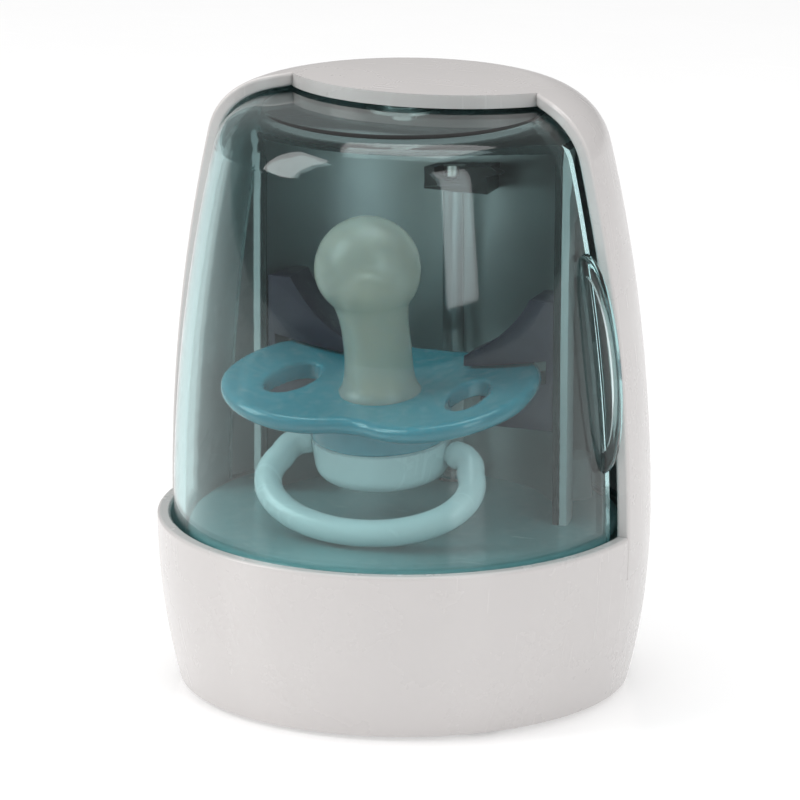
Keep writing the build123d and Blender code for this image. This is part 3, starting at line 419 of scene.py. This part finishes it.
for name, part in frame["nodes"].items():
    part.data.materials.clear()
    part.data.materials.append(looks.get(name, innerWhite))


# helpers for the modelled pieces
def newPiece(name, mesh, material, body, nodes, smoothAngle=40.0):
    mesh.name = name
    mesh.materials.clear()
    mesh.materials.append(material)
    mesh.shade_smooth()
    mesh.set_sharp_from_angle(angle=radians(smoothAngle))
    piece = bpy.data.objects.new(name, mesh)
    bpy.context.scene.collection.objects.link(piece)
    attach(piece, body)
    for solid in nodes:
        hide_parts(solid)


def meshFrom(bm):
    bmesh.ops.remove_doubles(bm, verts=bm.verts, dist=1e-6)
    bmesh.ops.recalc_face_normals(bm, faces=bm.faces)
    mesh = bpy.data.meshes.new("work")
    bm.to_mesh(mesh)
    bm.free()
    return mesh


def spun(profile, steps=96):
    # profile: radius and height in millimetres, turned once about the upright axis
    bm = bmesh.new()
    verts = [bm.verts.new((r * mm, 0, z * mm)) for r, z in profile]
    edges = [bm.edges.new(pair) for pair in zip(verts, verts[1:])]
    bmesh.ops.spin(bm, geom=verts + edges, cent=(0, 0, 0), axis=(0, 0, 1), dvec=(0, 0, 0),
                   angle=2 * pi, steps=steps, use_merge=True)
    return bm


def arcPoints(centre, radius, start, end, count):
    angles = [radians(start + (end - start) * k / count) for k in range(count + 1)]
    return [(centre[0] + radius * cos(a), centre[1] + radius * sin(a)) for a in angles]


def slab(points, low, high, upright=True):
    # a prism over a flat outline, along Z or, where upright is off, along Y
    bm = bmesh.new()
    flat = [(u, v, low) if upright else (u, low, v) for u, v in points]
    face = bm.faces.new([bm.verts.new((x * mm, y * mm, z * mm)) for x, y, z in flat])
    grown = bmesh.ops.extrude_face_region(bm, geom=[face])
    rise = (high - low) * mm
    step = (0, 0, rise) if upright else (0, rise, 0)
    bmesh.ops.translate(bm, vec=step, verts=[v for v in grown["geom"] if isinstance(v, bmesh.types.BMVert)])
    return meshFrom(bm)


def shaped(mesh, steps):
    # runs booleans, remeshing and bevels on a mesh and gives back the result
    scene = bpy.context.scene.collection.objects
    work = bpy.data.objects.new("work", mesh)
    scene.link(work)
    tools = []
    for kind, settings in steps:
        modifier = work.modifiers.new(kind.title(), kind)
        for key, value in settings.items():
            if key == "object":
                tool = bpy.data.objects.new("tool", value)
                scene.link(tool)
                tools.append(tool)
                value = tool
            setattr(modifier, key, value)
    bpy.context.view_layer.update()
    result = bpy.data.meshes.new_from_object(work.evaluated_get(bpy.context.evaluated_depsgraph_get()))
    for done in tools + [work]:
        bpy.data.objects.remove(done)
    return result


def cut(mesh, operation="DIFFERENCE"):
    return "BOOLEAN", dict(operation=operation, solver="EXACT", object=mesh)


# pacifier: modelled upright about its own axis, then leaned forward on the line of the ring's pins
pacifier = dict(pinY=-9.2, pinZ=40.6, tilt=6.0, shieldRise=6.6)


def onPacifier(mesh):
    lean = Matrix.Rotation(radians(pacifier["tilt"]), 4, "X")
    place = Matrix.Translation(Vector((0, pacifier["pinY"], pacifier["pinZ"])) * mm)
    mesh.transform(place @ lean @ Matrix.Translation(Vector((0, 0, pacifier["shieldRise"])) * mm))
    return mesh


shield = dict(thick=2.9, bend=110.0, nose=1.35, frontLobe=(10.8, -1.5), frontRadius=14.7, rearLobe=(9.9, 7.6),
              rearRadius=13.6, notchFront=-13.5, flankRadius=32.0, rearEdge=21.6,
              ventX=15.0, ventLength=14.4, ventWidth=6.2, ventTurn=8.0,
              collarRadius=11.4, collarDrop=4.0, collarBore=4.2, collarTop=1.6, collarChamfer=0.3,
              arcSteps=(10, 30, 10, 26), lastAngle=88, noseStep=15, ventSides=64, ventCut=(-3, 9),
              voxel=0.34, softening=4)


def shieldOutline(inset):
    # the right half is arcs that run on into each other, and the left half mirrors it
    (fx, fy), fr = shield["frontLobe"], shield["frontRadius"]
    (rx, ry), rr = shield["rearLobe"], shield["rearRadius"]
    over = fy - shield["notchFront"]
    notch = (fx * fx + over * over - fr * fr) / (2 * (fr - over))
    notchY = shield["notchFront"] - notch
    meet = degrees(atan2(fy - notchY, fx))
    near, far = shield["flankRadius"] - fr, shield["flankRadius"] - rr
    gap = hypot(rx - fx, ry - fy)
    along = (near * near - far * far + gap * gap) / (2 * gap)
    off = sqrt(near * near - along * along)
    ux, uy = (rx - fx) / gap, (ry - fy) / gap
    flank = (fx + along * ux - off * uy, fy + along * uy + off * ux)
    low, high = (degrees(atan2(y - flank[1], x - flank[0])) for x, y in ((fx, fy), (rx, ry)))
    steps = shield["arcSteps"]
    half = arcPoints((0, notchY), notch + inset, 90, meet, steps[0])
    half += arcPoints((fx, fy), fr - inset, meet - 180, low, steps[1])[1:]
    half += arcPoints(flank, shield["flankRadius"] - inset, low, high, steps[2])[1:]
    half += arcPoints((rx, ry), rr - inset, high, shield["lastAngle"], steps[3])[1:]
    half.append((0, shield["rearEdge"] - inset))
    return half + [(-x, y) for x, y in reversed(half[1:-1])]


def makeShield():
    bm = bmesh.new()
    loops, nose, thick = [], shield["nose"], shield["thick"]
    for turn in range(-90, 91, shield["noseStep"]):
        inset = nose * (1 - cos(radians(turn)))
        side = thick / 2 - nose
        height = thick / 2 + nose * sin(radians(turn)) + (side if turn > 0 else -side)
        loops.append([bm.verts.new((x * mm, y * mm, height * mm)) for x, y in shieldOutline(inset)])
    for lower, upper in zip(loops, loops[1:]):
        for k in range(len(lower)):
            after = (k + 1) % len(lower)
            bm.faces.new((lower[k], lower[after], upper[after], upper[k]))
    bm.faces.new(list(reversed(loops[0])))
    bm.faces.new(loops[-1])
    steps = []
    for side in (-1, 1):
        turn = radians(side * shield["ventTurn"])
        vent, sides = [], shield["ventSides"]
        for k in range(sides):
            u = shield["ventWidth"] / 2 * cos(2 * pi * k / sides)
            v = shield["ventLength"] / 2 * sin(2 * pi * k / sides)
            vent.append((side * shield["ventX"] + u * cos(turn) - v * sin(turn), u * sin(turn) + v * cos(turn)))
        steps.append(cut(slab(vent, *shield["ventCut"])))
    steps.append(("REMESH", dict(mode="VOXEL", voxel_size=shield["voxel"] * mm)))
    plate = shaped(meshFrom(bm), steps)
    bm = bmesh.new()
    bm.from_mesh(plate)
    for vert in bm.verts:
        vert.co.z += vert.co.x ** 2 / (2 * shield["bend"] * mm)
    for _ in range(shield["softening"]):
        bmesh.ops.smooth_vert(bm, verts=bm.verts, factor=0.5, use_axis_x=True, use_axis_y=True, use_axis_z=True)
    newPiece("pacifierShield", onPacifier(meshFrom(bm)), shieldTeal, "pacifier", ["pacifier_shield"],
             60)
    radius, drop, bore = shield["collarRadius"], shield["collarDrop"], shield["collarBore"]
    top, chamfer = shield["collarTop"], shield["collarChamfer"]
    collar = spun([(bore, top), (radius, top), (radius, -drop + chamfer), (radius - chamfer, -drop),
                   (bore, -drop), (bore, top)])
    newPiece("shieldCollar", onPacifier(meshFrom(collar)), shieldTeal, "pacifier", ["pacifier_shield"])


knob = dict(radius=11.2, foot=10.9, high=-4.1, low=-11.1, edge=3.0, chamfer=0.3, flat=(2.0, 5.0), edgeSteps=12,
            sides=128)


def makeKnob():
    r, edge, low, high = knob["radius"], knob["edge"], knob["low"], knob["high"]
    rim = arcPoints((knob["foot"] - edge, low + edge), edge, -90, 0, knob["edgeSteps"])
    chamfer = knob["chamfer"]
    profile = [(0, low)] + [(x, low) for x in knob["flat"]] + rim
    profile += [(r, high - chamfer), (r - chamfer, high), (0, high)]
    newPiece("pacifierKnob", onPacifier(meshFrom(spun(profile, knob["sides"]))), knobPale, "pacifier",
             ["pacifier_knob"])


teat = dict(flange=6.6, neck=5.4, bulb=8.4, bulbZ=24.3, cavity=3.4, seatZ=2.3, leanX=-0.4, leanY=-1.9,
            leanFrom=8.0, plugRadius=3.6, plugTop=4.1, shoulder=[(6.05, 18.45), (5.72, 17.3), (5.5, 15.9)],
            neckHeights=(14.0, 11.0, 8.5), foot=[(5.52, 6.4), (5.75, 5.0), (6.15, 3.9)], flangeTop=3.35,
            cavityHeights=(8.0, 12.0, 16.0), play=0.1, seatStep=0.15, plugEdge=0.5, plugRim=(1.2, 1.6),
            plugDip=0.3)


def makeTeat():
    z, seat = teat["bulbZ"], teat["seatZ"]
    outer = [(0, z + teat["bulb"])] + arcPoints((0, z), teat["bulb"], 88, -38, 36)
    outer += teat["shoulder"] + [(teat["neck"], height) for height in teat["neckHeights"]] + teat["foot"]
    outer += [(teat["flange"], teat["flangeTop"]), (teat["flange"], seat)]
    dome, r, top, play = teat["cavity"], teat["plugRadius"], teat["plugTop"], teat["play"]
    inner = [(r + play, seat), (r + play, top + play), (dome, top + teat["seatStep"])]
    inner += [(dome, height) for height in teat["cavityHeights"]] + [(dome, z - dome)]
    inner += arcPoints((0, z - dome), dome, 10, 88, 12) + [(0, z)]
    bm = spun(outer + inner, 96)
    for vert in bm.verts:
        share = min(max((vert.co.z / mm - teat["leanFrom"]) / (z - teat["leanFrom"]), 0), 1)
        share = share * share * (3 - 2 * share)
        vert.co.x += share * teat["leanX"] * mm
        vert.co.y += share * teat["leanY"] * mm
    newPiece("pacifierTeat", onPacifier(meshFrom(bm)), teatSilicone, "pacifier", ["pacifier_teat"],
             55)
    low, edge, step, dip = knob["high"] + play, teat["plugEdge"], teat["seatStep"], teat["plugDip"]
    rimOut, rimIn = teat["plugRim"]
    plug = spun([(0, low), (r, low), (r, top - edge), (r - step, top - step), (r - edge, top),
                 (r - rimOut, top), (r - rimIn, top - dip), (0, top - dip)], 64)
    newPiece("teatPlug", onPacifier(meshFrom(plug)), plugCream, "pacifier", ["teat_plug"])


ring = dict(halfWidth=17.2, reach=10.0, offset=7.0, wire=2.2, tilt=38.6, pin=1.25, endX=11.75, cornerX=15.6,
            joinAngle=20.0, endShrink=0.86, sides=28, bowSteps=72, cornerSteps=10, pinSides=24, pinLength=2.6,
            pinX=10.3)


def makeRing():
    # a round wire along an elliptic bow whose ends turn in to the knob
    join, end = ring["joinAngle"], ring["endX"]
    bow = arcPoints((0, 0), 1.0, 180 - join, 360 + join, ring["bowSteps"])
    path = [(ring["halfWidth"] * u, ring["reach"] * v - ring["offset"]) for u, v in bow]
    corner, controls = [], (path[-1], (ring["cornerX"], 0), (end, 0))
    for k in range(1, ring["cornerSteps"] + 1):
        t = k / ring["cornerSteps"]
        corner.append([(1 - t) ** 2 * a + 2 * t * (1 - t) * b + t * t * c for a, b, c in zip(*controls)])
    path = [(-x, y) for x, y in reversed(corner)] + path + [(x, y) for x, y in corner]
    bm = bmesh.new()
    loops = []
    last, sides = len(path) - 1, ring["sides"]
    for k, (x, y) in enumerate(path):
        before, after = path[max(k - 1, 0)], path[min(k + 1, last)]
        along = Vector((after[0] - before[0], after[1] - before[1], 0)).normalized()
        across = Vector((-along.y, along.x, 0))
        fromEnd = min(k, last - k)
        radius = ring["wire"] * (ring["endShrink"] if fromEnd == 0 else 1.0)
        loop = []
        for step in range(sides):
            a = 2 * pi * step / sides
            point = Vector((x, y, 0)) + across * radius * cos(a) + Vector((0, 0, radius * sin(a)))
            loop.append(bm.verts.new(point * mm))
        loops.append(loop)
    for lower, upper in zip(loops, loops[1:]):
        for k in range(sides):
            after = (k + 1) % sides
            bm.faces.new((lower[k], lower[after], upper[after], upper[k]))
    bm.faces.new(loops[0])
    bm.faces.new(loops[-1])
    for side in (-1, 1):
        made = bmesh.ops.create_cone(bm, cap_ends=True, segments=ring["pinSides"], radius1=ring["pin"] * mm,
                                     radius2=ring["pin"] * mm, depth=ring["pinLength"] * mm)
        turn = Matrix.Translation(Vector((side * ring["pinX"], 0, 0)) * mm) @ Matrix.Rotation(pi / 2, 4, "Y")
        bmesh.ops.transform(bm, matrix=turn, verts=made["verts"])
    mesh = meshFrom(bm)
    lean = Matrix.Rotation(radians(ring["tilt"]), 4, "X")
    mesh.transform(Matrix.Translation(Vector((0, pacifier["pinY"], pacifier["pinZ"])) * mm) @ lean)
    newPiece("pacifierRing", mesh, knobPale, "ring", ["pacifier_ring"], 50)


makeShield()
makeKnob()
makeTeat()
makeRing()
print("pacifier modelled")


# cradle claws, cut for the leaning shield
cradle = dict(front=1.8, depth=7.4, wall=24.85, tipX=9.6, tipTop=53.9, crestX=20.8, top=64.2, hollow=0.9,
              jawLow=42.8, jawX=12.5, step=50.4, under=0.3, over=0.55, reach=23.6, bevel=0.45,
              outerX=27, slotHalf=40, slotSteps=12, curveSteps=16, wallSides=256)


def makeCradles():
    c = cradle
    bend = shield["bend"]
    across = [c["reach"] * (k / c["slotSteps"] - 1) for k in range(2 * c["slotSteps"] + 1)]
    slotLow = [(x, x * x / (2 * bend) - c["under"]) for x in across]
    slotHigh = [(x, x * x / (2 * bend) + shield["thick"] + c["over"]) for x in reversed(across)]
    for side, name, solid in ((1, "cradleRight", "cradle_right"), (-1, "cradleLeft", "cradle_left")):
        curve = []
        for k in range(c["curveSteps"] + 1):
            t = k / c["curveSteps"]
            pull = 4 * t * (1 - t) * c["hollow"]
            x, z = c["tipX"] * (1 - t) + c["crestX"] * t, c["tipTop"] * (1 - t) + c["top"] * t
            curve.append((x + pull, z - pull))
        outline = [(c["outerX"], c["jawLow"]), (c["jawX"], c["jawLow"]), (c["jawX"], c["step"]), (c["tipX"], c["step"])]
        outline += curve + [(c["outerX"], c["top"])]
        slot = onPacifier(slab(slotLow + slotHigh, -c["slotHalf"], c["slotHalf"], False))
        wall = bmesh.new()
        bmesh.ops.create_cone(wall, cap_ends=True, segments=c["wallSides"], radius1=c["wall"] * mm,
                              radius2=c["wall"] * mm, depth=0.2)
        body = slab([(side * x, z) for x, z in outline], c["front"], c["front"] + c["depth"], False)
        steps = [cut(slot), cut(meshFrom(wall), "INTERSECT"),
                 ("BEVEL", dict(width=c["bevel"] * mm, segments=3, limit_method="ANGLE", angle_limit=radians(35)))]
        newPiece(name, shaped(body, steps), cradleViolet, "case", [solid], 35)


makeCradles()
print("claws modelled")


# lamp: a hollow tube with an electrode at each end
lamp = dict(y=21.9, low=24.6, high=82.0, radius=1.75, wall=0.35, coilRadius=0.45, coilWire=0.12, coilTurns=5,
            coilPitch=0.42, stem=5.0, stemInset=1.0, stemRadii=(0.18, 0.12), coilBack=2.0, turnSteps=16,
            sides=64, capAngle=80, capSteps=8)


def makeLamp():
    r, wall = lamp["radius"], lamp["wall"]
    low, high = lamp["low"] + r, lamp["high"] - r
    turn, count = lamp["capAngle"], lamp["capSteps"]
    outer = [(0, low - r)] + arcPoints((0, low), r, -turn, 0, count)
    outer += arcPoints((0, high), r, 0, turn, count) + [(0, high + r)]
    thin = r - wall
    inner = [(0, high + thin)] + arcPoints((0, high), thin, turn, 0, count)
    inner += arcPoints((0, low), thin, 0, -turn, count)
    bm = spun(outer, lamp["sides"])
    bore = spun(inner + [(0, low - thin)], lamp["sides"])
    mesh = bpy.data.meshes.new("work")
    bore.to_mesh(mesh)
    bore.free()
    bm.from_mesh(mesh)
    bmesh.ops.translate(bm, vec=(0, lamp["y"] * mm, 0), verts=bm.verts)
    newPiece("lampTube", meshFrom(bm), lampGlass, "case", ["lamp_tube"], 60)
    wires = bmesh.new()
    for base, way in ((lamp["low"] + lamp["stemInset"], 1), (lamp["high"] - lamp["stemInset"], -1)):
        made = bmesh.ops.create_cone(wires, cap_ends=True, segments=12, radius1=lamp["stemRadii"][0] * mm,
                                     radius2=lamp["stemRadii"][1] * mm, depth=lamp["stem"] * mm)
        middle = base + way * lamp["stem"] / 2
        bmesh.ops.translate(wires, vec=(0, lamp["y"] * mm, middle * mm), verts=made["verts"])
        start = base + way * (lamp["stem"] - lamp["coilBack"])
        made = bmesh.ops.create_circle(wires, cap_ends=False, segments=8, radius=lamp["coilWire"] * mm)
        turn = Matrix.Translation(Vector((lamp["coilRadius"], lamp["y"], start)) * mm)
        turn = turn @ Matrix.Rotation(pi / 2, 4, "X")
        bmesh.ops.transform(wires, matrix=turn, verts=made["verts"])
        steps = lamp["turnSteps"] * lamp["coilTurns"]
        geom = made["verts"] + list({edge for vert in made["verts"] for edge in vert.link_edges})
        bmesh.ops.spin(wires, geom=geom, cent=(0, lamp["y"] * mm, start * mm), axis=(0, 0, 1),
                       dvec=(0, 0, lamp["coilPitch"] * mm / lamp["turnSteps"]),
                       angle=2 * pi * lamp["coilTurns"], steps=steps)
    bmesh.ops.holes_fill(wires, edges=wires.edges, sides=8)
    newPiece("lampElectrodes", meshFrom(wires), steelPlate, "case", ["lamp_tube"], 50)


makeLamp()

# moulded edges of the large pieces catch a line of light
edgeBevels = {"lid_shell": 0.22, "floor_tray": 0.3}
for name, width in edgeBevels.items():
    edge = frame["nodes"][name].modifiers.new("Bevel", "BEVEL")
    edge.width, edge.segments = width * mm, 2
    edge.limit_method, edge.angle_limit = "ANGLE", radians(50)
print("case dressed")


# floor
floor = dict(half=4000.0, glow=0.30)


def makeFloor():
    bm = bmesh.new()
    bmesh.ops.create_grid(bm, x_segments=2, y_segments=2, size=floor["half"] * mm)
    mesh = bpy.data.meshes.new("studioFloor")
    bm.to_mesh(mesh)
    bm.free()
    white = mouldedPlastic("floorWhite", (0.86, 0.86, 0.86), (0.85, 0.85, 0.85), gloss=0.16, spread=0.02, dust=0.0)
    shader = white.node_tree.nodes["Principled BSDF"]
    shader.inputs["Emission Color"].default_value = (1, 1, 1, 1)
    shader.inputs["Emission Strength"].default_value = floor["glow"]
    mesh.materials.append(white)
    plane = bpy.data.objects.new("studioFloor", mesh)
    bpy.context.scene.collection.objects.link(plane)


makeFloor()
